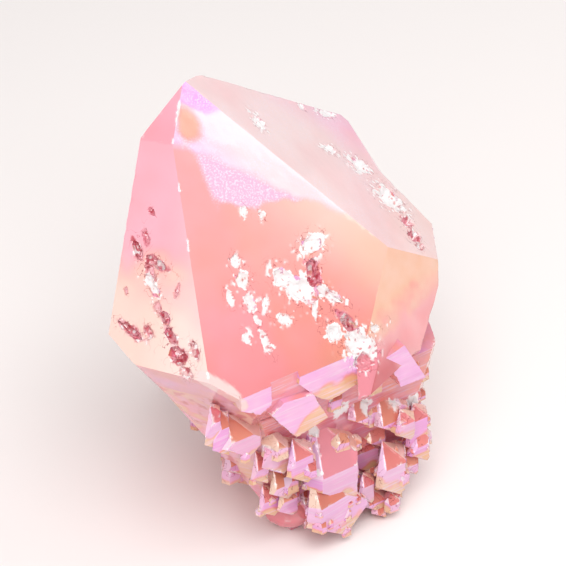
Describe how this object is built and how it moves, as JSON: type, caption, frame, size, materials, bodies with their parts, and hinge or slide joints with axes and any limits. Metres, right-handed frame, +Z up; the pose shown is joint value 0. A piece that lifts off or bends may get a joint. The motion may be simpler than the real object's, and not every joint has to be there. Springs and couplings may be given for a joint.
{
  "type": "aura quartz crystal",
  "caption": "Broad film-coated quartz point with a skirt of small parallel points round its broken foot, which it stands on.",
  "frame": {"origin": "on the broken base, under the middle of the crystal's bounding box", "axes": "+Z up along the big crystal's long axis, -Y towards the front with the three broad pyramid faces, +X to the right of it"},
  "size_m": [0.0402, 0.0466, 0.0577],
  "materials": {
    "aura_quartz": "clear quartz under a thin metal film: glossy, salmon to pink and lilac by face, frosted white where chipped"
  },
  "bodies": {
    "root": {"quartz_crystal": "aura_quartz"}
  },
  "joints": []
}
